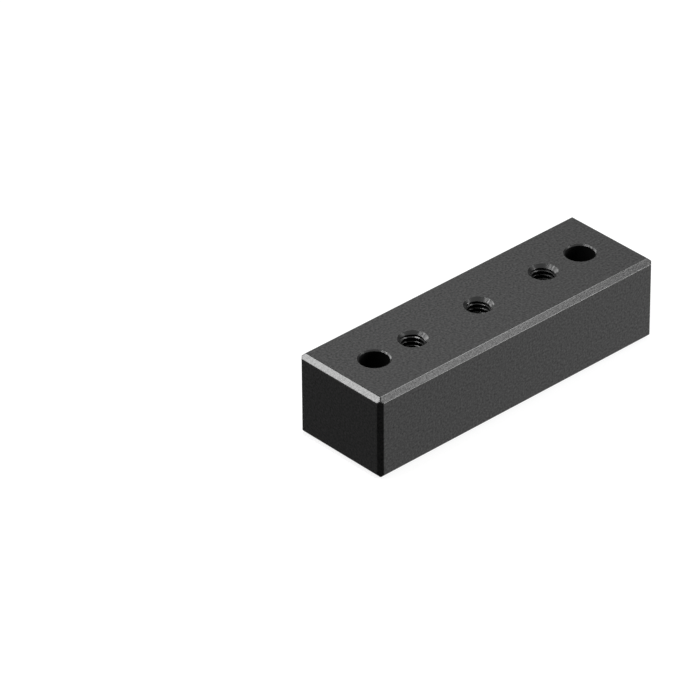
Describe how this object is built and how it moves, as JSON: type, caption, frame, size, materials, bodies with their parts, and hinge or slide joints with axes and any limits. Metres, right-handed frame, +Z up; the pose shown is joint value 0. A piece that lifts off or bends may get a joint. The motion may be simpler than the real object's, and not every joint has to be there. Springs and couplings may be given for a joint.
{
  "type": "machined mounting block",
  "caption": "Rectangular block with chamfered edges, tapped through holes along its middle and a counterbored clearance hole near each end.",
  "frame": {"origin": "centre of the underside", "axes": "+X along the block, +Y across its width, +Z up from the counterbored underside to the plain face"},
  "size_m": [0.08, 0.025, 0.02],
  "materials": {
    "black_anodised_aluminium": "fine bead-blasted and black anodised"
  },
  "bodies": {
    "root": {"mounting_block": "black_anodised_aluminium"}
  },
  "joints": []
}
